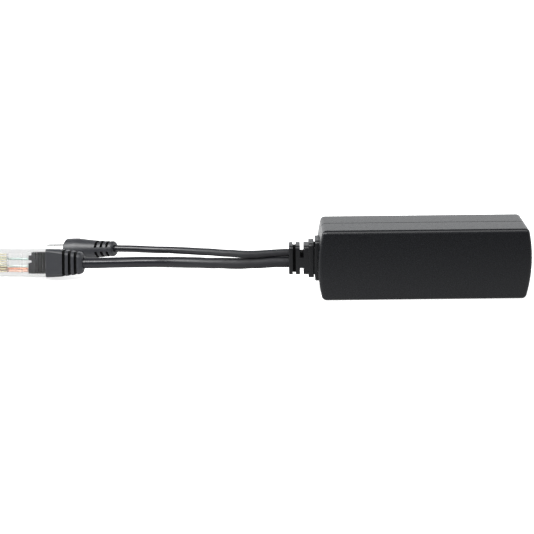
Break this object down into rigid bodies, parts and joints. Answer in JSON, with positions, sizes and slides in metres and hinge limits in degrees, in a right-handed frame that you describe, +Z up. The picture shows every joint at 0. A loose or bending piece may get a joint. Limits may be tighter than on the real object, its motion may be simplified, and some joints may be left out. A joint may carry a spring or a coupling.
{
  "type": "poe splitter",
  "caption": "Small boxed splitter with a network input jack at one end, and two short leads at the other ending in a clear data plug and a barrel power plug.",
  "frame": {"origin": "bottom centre of the case, in the middle of the long narrow side that it stands on; the leads are left out of that measure", "axes": "+X along the case towards the input jack, +Y through the case's depth away from the front cover, +Z up"},
  "size_m": [0.2183, 0.0625, 0.0288],
  "materials": {
    "case_black": "fine spark-eroded moulded ABS",
    "soft_black": "smooth black moulded PVC",
    "cord_black": "smooth black PVC jacket",
    "jack_black": "black moulded plastic",
    "board_green": "green solder mask on glass-fibre board",
    "gold_contact": "gold-plated contact",
    "nickel_barrel": "bright nickel plate",
    "ferrite_grey": "dull grey ferrite",
    "winding_tape": "yellow film tape over a winding",
    "chip_black": "black moulding compound",
    "can_sleeve": "dark heat-shrunk sleeve",
    "clear_plastic": "clear polycarbonate",
    "plug_insulation": "black moulded plastic",
    "wire_orange": "orange wire insulation",
    "wire_pale_orange": "white and orange wire insulation",
    "wire_green": "green wire insulation",
    "wire_pale_green": "white and green wire insulation",
    "wire_red": "red wire insulation",
    "wire_black": "black wire insulation"
  },
  "bodies": {
    "root": {"front_cover": "case_black", "rear_cover": "case_black", "cable_gland": "soft_black", "main_board": "board_green", "input_jack_housing": "jack_black", "lan_transformer": "chip_black", "power_transformer_core": "ferrite_grey", "power_transformer_bobbin": "winding_tape", "input_capacitor": "can_sleeve", "output_capacitor": "can_sleeve", "bridge_rectifier_1": "chip_black", "bridge_rectifier_2": "chip_black", "controller_chip": "chip_black", "output_inductor": "ferrite_grey", "output_diode": "chip_black", "optocoupler": "chip_black", "inner_data_lead_1": "wire_pale_orange", "inner_data_lead_2": "wire_orange", "inner_data_lead_3": "wire_pale_green", "inner_data_lead_6": "wire_green", "inner_power_lead_negative": "wire_black", "inner_power_lead_positive": "wire_red", "data_cord": "cord_black", "power_cord": "cord_black", "data_plug_boot": "soft_black", "data_plug_body": "clear_plastic", "data_wire_1": "wire_pale_orange", "data_wire_2": "wire_orange", "data_wire_3": "wire_pale_green", "data_wire_6": "wire_green", "power_plug_grip": "soft_black", "power_plug_sleeve": "nickel_barrel", "power_plug_insulator": "plug_insulation", "power_plug_centre_tube": "nickel_barrel", "jack_contact_1": "gold_contact", "data_plug_contact_1": "gold_contact", "jack_contact_2": "gold_contact", "data_plug_contact_2": "gold_contact", "jack_contact_3": "gold_contact", "data_plug_contact_3": "gold_contact", "jack_contact_4": "gold_contact", "data_plug_contact_4": "gold_contact", "jack_contact_5": "gold_contact", "data_plug_contact_5": "gold_contact", "jack_contact_6": "gold_contact", "data_plug_contact_6": "gold_contact", "jack_contact_7": "gold_contact", "data_plug_contact_7": "gold_contact", "jack_contact_8": "gold_contact", "data_plug_contact_8": "gold_contact"}
  },
  "joints": []
}
